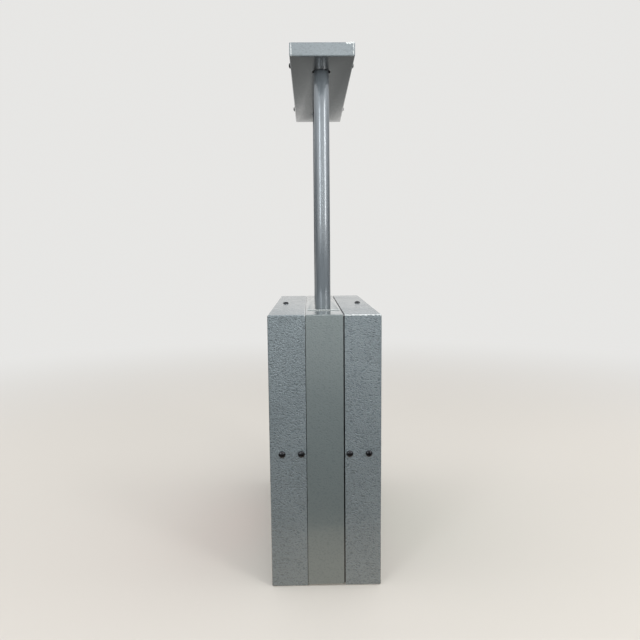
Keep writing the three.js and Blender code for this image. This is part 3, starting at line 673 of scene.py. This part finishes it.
rubber = black_rubber()
GASKET_SHEET = 0.0012
BEAD_RADIUS = 0.0007
BUSH_BORE, BUSH_RADIUS = 0.0065, 0.0122
for side, outward in (("front", -1), ("rear", 1)):
    low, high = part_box(f"{side}_lens_gasket")
    near, far = sorted((abs(low.y), abs(high.y)))
    flange = (high.z - low.z) / 2
    bead = LENS_OPENING - 0.0004
    lip = arc((bead - 0.0008, far - BEAD_RADIUS), BEAD_RADIUS, 0, 180, 6)
    washer_top = near + GASKET_SHEET
    outline = [(bead - 0.0015, near), (flange, near), (flange, washer_top), (bead, washer_top)]
    gasket_mesh = turned(outline + lip, (0, 0, LENS_CENTRE_Z), (0, outward, 0), steps=128)
    gasket = to_object(f"{side}_lens_gasket_rubber", gasket_mesh, rubber)
    fit_piece(gasket, f"{side}_cover_unit", "rubber", f"{side}_lens_gasket")
for hand, tube in zip(("left", "right"), TUBE_CENTRES):
    low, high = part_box(f"tube_cable_bush_{hand}")
    tall = high.z - low.z
    outline = [(BUSH_BORE, 0.001), (BUSH_BORE + 0.001, 0), (BUSH_RADIUS - 0.001, 0), (BUSH_RADIUS, 0.001),
               (BUSH_RADIUS, tall), (BUSH_BORE, tall)]
    bush_mesh = turned(outline, (tube.x, 0, low.z), (0, 0, 1), steps=48)
    bush = to_object(f"tube_cable_bush_{hand}_rubber", bush_mesh, rubber)
    fit_piece(bush, "hanging_frame", "rubber", f"tube_cable_bush_{hand}")

# ---------------------------------------------------------------- lenses
# Moulded lenses, red in front and green behind: a smooth dome outside, rings of prisms inside, and a fine
# grid of pillows that spreads the light.
LENS_FOOT = 0.1478
LENS_WALL = 0.0025
PRISM_RINGS = 22
PRISM_DEPTH = 0.0010
PRISM_MARGIN = 0.004
PILLOW = 0.005


def lens_plastic(name, deep, bright):
    """Tinted plastic with a fine grid of pillows and a trace of dust."""
    material, tree, shader, place = new_material(
        name, transmission_weight=0.55, ior=1.49, coat_weight=0.4, coat_roughness=0.06)
    x, _, z = axes_of(tree, place)
    columns = combined(tree, "SINE", combined(tree, "MULTIPLY", x, math.tau / PILLOW))
    rows = combined(tree, "SINE", combined(tree, "MULTIPLY", z, math.tau / PILLOW))
    pillow = combined(tree, "MULTIPLY_ADD", combined(tree, "MULTIPLY", columns, rows), 0.5, 0.5)
    dust = noise(tree, place, 0.02, detail=5.0)
    colour = mixed(tree, remap(tree, pillow, 0.0, 1.0), deep, bright)
    feed(tree, shader, base_color=colour, roughness=remap(tree, dust, 0.4, 0.8, 0.08, 0.26),
         normal=bumped(tree, pillow, 0.00030))
    return material


lens_colours = {
    "front": lens_plastic("red_lens_plastic", (0.50, 0.006, 0.004, 1), (0.72, 0.018, 0.010, 1)),
    "rear": lens_plastic("green_lens_plastic", (0.004, 0.24, 0.10, 1), (0.012, 0.42, 0.19, 1)),
}
for side, outward in (("front", -1), ("rear", 1)):
    low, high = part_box(f"{side}_lens")
    back, crown = sorted((abs(low.y), abs(high.y)))
    flange = (high.z - low.z) / 2
    foot = back + LENS_WALL
    dome_radius = (LENS_FOOT ** 2 + (crown - foot) ** 2) / (2 * (crown - foot))
    dome_centre = crown - dome_radius
    outside = [(r, dome_centre + math.sqrt(dome_radius ** 2 - r ** 2))
               for r in [LENS_FOOT * (1 - i / 16) for i in range(17)]]
    inside = []
    pitch = (LENS_FOOT - PRISM_MARGIN) / PRISM_RINGS
    for ring_number in range(PRISM_RINGS):
        start = pitch * ring_number
        base = dome_centre + math.sqrt(dome_radius ** 2 - start ** 2) - LENS_WALL
        inside += [(start, base), (start + 0.9 * pitch, base - PRISM_DEPTH)]
    inside[0] = (0, inside[0][1])
    brim = [(LENS_FOOT - 0.003, back), (flange, back), (flange, foot), (LENS_FOOT, foot)]
    outline = inside + brim + outside[1:-1] + [(0, crown)]
    lens = turned(outline, (0, 0, LENS_CENTRE_Z), (0, outward, 0), steps=128, closed=False)
    piece = to_object(f"{side}_lens_moulding", lens, lens_colours[side], crease=25)
    fit_piece(piece, f"{side}_cover_unit", "red_lens" if side == "front" else "green_lens", f"{side}_lens")

# ---------------------------------------------------------------- reflectors
# A shallow white-enamelled dish behind each lens, with a rolled rim, two holes for the leads, and four
# stand-off pillars that hold it clear of the mounting plate.


def white_enamel():
    """White stove enamel, a little yellowed, with dust."""
    material, tree, shader, place = new_material("white_enamel", coat_weight=0.3, coat_roughness=0.1)
    age = noise(tree, place, 0.05, detail=5.0)
    colour = mixed(tree, remap(tree, age, 0.35, 0.75), (0.82, 0.82, 0.79, 1), (0.70, 0.68, 0.61, 1))
    feed(tree, shader, base_color=colour, roughness=remap(tree, age, 0.3, 0.8, 0.25, 0.45),
         normal=bumped(tree, noise(tree, place, 0.003), 0.00003))
    return material


white = white_enamel()
DISH_FLAT, DISH_LIP, DISH_WALL = 0.118, 0.152, 0.0012
LEAD_HOLE_X, LEAD_HOLE = 0.109, 0.005
PILLAR_CIRCLE = 0.1
PILLAR_FOOT = 0.0011
for side, outward in (("front", -1), ("rear", 1)):
    low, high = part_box(f"{side}_reflector")
    back, rim = sorted((abs(low.y), abs(high.y)))
    edge = (high.z - low.z) / 2 - 0.0001
    outline = [(0, back), (DISH_FLAT, back), (DISH_LIP, rim - DISH_WALL), (edge, rim - DISH_WALL),
               (edge, rim), (DISH_LIP - 0.001, rim), (DISH_FLAT - 0.001, back + DISH_WALL),
               (0, back + DISH_WALL)]
    dish = turned(outline, (0, 0, LENS_CENTRE_Z), (0, outward, 0), steps=96, closed=False)
    ease(dish, 0.0005, angle=20, segments=3)
    piece = to_object(f"{side}_reflector_dish", dish, white)
    drilled(piece, [((x, outward * (back + DISH_WALL / 2), LENS_CENTRE_Z), (0, 1, 0), LEAD_HOLE)
                    for x in (-LEAD_HOLE_X, LEAD_HOLE_X)])
    fit_piece(piece, "hanging_frame", "white_reflector", f"{side}_reflector")
    for number, degrees in enumerate((45, 135, 225, 315), 1):
        angle = math.radians(degrees)
        spot = (PILLAR_CIRCLE * math.cos(angle), 0, LENS_CENTRE_Z + PILLAR_CIRCLE * math.sin(angle))
        pillar_outline = [(0, PILLAR_FOOT), (0.004, PILLAR_FOOT), (0.004, back), (0.003, back),
                          (0.003, back + DISH_WALL), (0.0042, back + DISH_WALL), (0.0042, back + 0.0030),
                          (0.0032, back + 0.0038), (0, back + 0.0038)]
        pillar_mesh = turned(pillar_outline, spot, (0, outward, 0), steps=24, closed=False)
        pillar = to_object(f"{side}_reflector_pillar_{number}", pillar_mesh, zinc)
        fit_piece(pillar, "hanging_frame", "zinc_steel")

# ---------------------------------------------------------------- lampholders and lamps
# A main and a spare lamp lie across each dish with their bulbs towards the middle: opal glass on brass caps,
# screwed into glazed porcelain holders. Each holder is held on a zinc-plated angle bracket, which two brass
# screws fix to the dish.


def porcelain_glaze():
    """Glazed off-white porcelain."""
    material, tree, shader, place = new_material("porcelain", coat_weight=0.5, coat_roughness=0.05)
    cloud = noise(tree, place, 0.01, detail=4.0)
    colour = mixed(tree, cloud, (0.80, 0.77, 0.68, 1), (0.70, 0.66, 0.56, 1))
    feed(tree, shader, base_color=colour, roughness=remap(tree, cloud, 0.3, 0.7, 0.15, 0.3))
    return material


def opal_glass():
    """White opal bulb glass with a light smoke stain."""
    material, tree, shader, place = new_material(
        "opal_glass", subsurface_weight=0.25, subsurface_scale=0.004, coat_weight=0.6, coat_roughness=0.04)
    stain = noise(tree, place, 0.02, detail=3.0)
    colour = mixed(tree, remap(tree, stain, 0.4, 0.8), (0.88, 0.87, 0.82, 1), (0.78, 0.75, 0.66, 1))
    feed(tree, shader, base_color=colour, roughness=remap(tree, stain, 0.3, 0.8, 0.12, 0.25))
    return material


def tarnished_brass():
    """Brass with brown tarnish."""
    material, tree, shader, place = new_material("brass", metallic=1.0)
    tarnish = noise(tree, place, 0.004, detail=4.0)
    colour = mixed(tree, remap(tree, tarnish, 0.4, 0.75), (0.66, 0.47, 0.19, 1), (0.34, 0.23, 0.10, 1))
    feed(tree, shader, base_color=colour, roughness=remap(tree, tarnish, 0.3, 0.8, 0.22, 0.45))
    return material


porcelain = porcelain_glaze()
opal = opal_glass()
brass = tarnished_brass()
BULB_RADIUS = 0.0222
BULB_CENTRE = 0.0350
NECK_ANGLE = 66
for side, outward in (("front", -1), ("rear", 1)):
    for hand, across in (("left", -1), ("right", 1)):
        label = f"{side}_{hand}"
        low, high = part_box(f"lampholder_{label}")
        mouth = high.x if across < 0 else low.x
        seat = Vector((mouth, (low.y + high.y) / 2, LENS_CENTRE_Z))
        inward = (-across, 0, 0)
        depth = high.x - low.x
        cup = [(0, -depth), (0.011, -depth), (0.013, -depth + 0.002), (0.013, -0.018), (0.0122, -0.017),
               (0.0122, -0.013), (0.013, -0.012), (0.013, -0.005), (0.015, -0.004), (0.015, -0.0006),
               (0.0144, 0), (0.0095, 0), (0.0095, 0.004 - depth), (0, 0.004 - depth)]
        cup_mesh = turned(cup, seat, inward, steps=48, closed=False)
        ease(cup_mesh, 0.0003, angle=40)
        cup_piece = to_object(f"lampholder_{label}_cup", cup_mesh, porcelain)
        fit_piece(cup_piece, "hanging_frame", "porcelain", f"lampholder_{label}")
        thread = [(0.0068 + 0.0006 * (i % 2), -0.018 + 0.0015 * i) for i in range(14)]
        cap = [(0, -0.0215), (0.0035, -0.0215), (0.0065, -0.0185)] + thread + [(0.0072, 0.004), (0, 0.004)]
        cap_mesh = turned(cap, seat, inward, steps=32, closed=False)
        fit_piece(to_object(f"lamp_{label}_cap", cap_mesh, brass), "hanging_frame")
        neck = [(0, 0.0035), (0.0068, 0.0035), (0.0070, 0.0075), (0.0078, 0.0120)]
        ball = arc((0, BULB_CENTRE), BULB_RADIUS, -NECK_ANGLE, 90, 20)
        ball[-1] = (0, BULB_CENTRE + BULB_RADIUS)
        bulb_mesh = turned(neck + ball, seat, inward, steps=48, closed=False)
        bulb = to_object(f"lamp_{label}_bulb", bulb_mesh, opal, crease=60)
        fit_piece(bulb, "hanging_frame", "lamp_glass", f"lamp_{label}")
        low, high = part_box(f"lampholder_bracket_{label}")
        repaint(f"lampholder_bracket_{label}", zinc)
        foot_y = high.y if outward < 0 else low.y
        head_outline = [(0, 0), (0.0026, 0), (0.0026, 0.0006), (0.0018, 0.0013), (0, 0.0015)]
        for number, rise in enumerate((-0.009, 0.009), 1):
            spot = (seat.x + across * 0.012, foot_y + outward * 0.0016, LENS_CENTRE_Z + rise)
            head = turned(head_outline, spot, (0, outward, 0), steps=20, closed=False)
            fit_piece(to_object(f"bracket_screw_{label}_{number}", head, brass), "hanging_frame")

# ---------------------------------------------------------------- leads
# A jacketed twin lead runs to each lampholder: down behind the dish from the terminal block, through the dish
# beside the bracket, and in at the back of the holder.


def lead_jacket():
    """Grey flexible jacket, slightly dusty."""
    material, tree, shader, place = new_material("lead_jacket", roughness=0.5)
    dust = noise(tree, place, 0.004, detail=4.0)
    colour = mixed(tree, dust, (0.20, 0.20, 0.205, 1), (0.30, 0.30, 0.295, 1))
    feed(tree, shader, base_color=colour, normal=bumped(tree, dust, 0.00005))
    return material


jacket = lead_jacket()
LEAD_RADIUS = 0.0019
for side, outward in (("front", -1), ("rear", 1)):
    for hand, across in (("left", -1), ("right", 1)):
        label = f"{side}_{hand}"
        start = (0.014, 0.0052, 0.349) if side == "front" else (0.003, 0.0052, 0.340)
        route = [start, (0.030, 0.0052, 0.325), (0.075, 0.0052, 0.285), (0.103, 0.0052, 0.235),
                 (0.109, 0.0052, 0.211), (0.109, 0.0066, 0.2025), (0.109, 0.012, 0.200), (0.109, 0.026, 0.200),
                 (0.105, 0.035, 0.200), (0.0984, 0.036, 0.200)]
        curve = bpy.data.curves.new(f"lead_{label}", "CURVE")
        curve.dimensions = "3D"
        curve.bevel_depth = LEAD_RADIUS
        curve.bevel_resolution = 4
        curve.resolution_u = 10
        curve.use_fill_caps = True
        spline = curve.splines.new("BEZIER")
        spline.bezier_points.add(len(route) - 1)
        for point, (x, y, z) in zip(spline.bezier_points, route):
            point.co = (across * x, outward * y, z)
            point.handle_left_type = point.handle_right_type = "AUTO"
        line = bpy.data.objects.new(f"lead_{label}_line", curve)
        bpy.context.scene.collection.objects.link(line)
        graph = bpy.context.evaluated_depsgraph_get()
        lead_mesh = bmesh.new()
        lead_mesh.from_mesh(bpy.data.meshes.new_from_object(line.evaluated_get(graph)))
        bmesh.ops.remove_doubles(lead_mesh, verts=lead_mesh.verts, dist=0.000005)
        bpy.data.objects.remove(line)
        lead = to_object(f"lead_{label}_jacket", lead_mesh, jacket)
        fit_piece(lead, "hanging_frame", "lead_jacket", f"lead_{label}")

# ---------------------------------------------------------------- terminal block and earth stud
# A three-way porcelain block with brass screws on the front of the plate's tongue, and a threaded earth stud
# with its nut behind it.
WAY_PITCH, ROW_OFFSET = 0.017, 0.005
low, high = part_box("terminal_block")
block_mesh = fitted_block(low, high)
ease(block_mesh, 0.0012, segments=3)
shaded_by_shape(block_mesh)
block = to_object("terminal_block_body", block_mesh, porcelain)
ways = [(x, z) for x in (-WAY_PITCH, 0, WAY_PITCH) for z in (-ROW_OFFSET, ROW_OFFSET)]
block_middle = (low + high) / 2
drilled(block, [((x, low.y - 0.004, block_middle.z + z), (0, 1, 0), 0.0027) for x, z in ways])
fit_piece(block, "hanging_frame", "porcelain", "terminal_block")
for number, (x, z) in enumerate(ways, 1):
    seat = (x, low.y + 0.005, block_middle.z + z)
    outline = [(0, -0.003), (0.0025, -0.003), (0.0025, 0.0008), (0.0020, 0.0014), (0, 0.0014)]
    clamp = turned(outline, seat, (0, -1, 0), steps=20, closed=False)
    fit_piece(to_object(f"terminal_screw_{number}", clamp, brass), "hanging_frame")
low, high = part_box("earth_stud")
stud_centre = Vector((0, low.y, (low.z + high.z) / 2))
threads = [(0.0025 - 0.0003 * (i % 2), 0.0050 + 0.0004 * i) for i in range(15)]
outline = [(0, 0), (0.006, 0), (0.006, 0.001), (0.0025, 0.001)] + threads + [(0.002, 0.011), (0, 0.011)]
stud = turned(outline, stud_centre, (0, 1, 0), steps=32, closed=False)
fit_piece(to_object("earth_stud_threaded", stud, brass), "hanging_frame", "zinc_steel", "earth_stud")
nut_middle = Matrix.Translation(stud_centre + Vector((0, 0.0032, 0)))
nut_mesh = bmesh.new()
bmesh.ops.create_cone(nut_mesh, cap_ends=True, segments=6, radius1=0.0046, radius2=0.0046, depth=0.004,
                      matrix=nut_middle @ Matrix.Rotation(math.radians(90), 4, "X"))
ease(nut_mesh, 0.0003)
fit_piece(to_object("earth_stud_nut", nut_mesh, brass), "hanging_frame")

low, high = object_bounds()
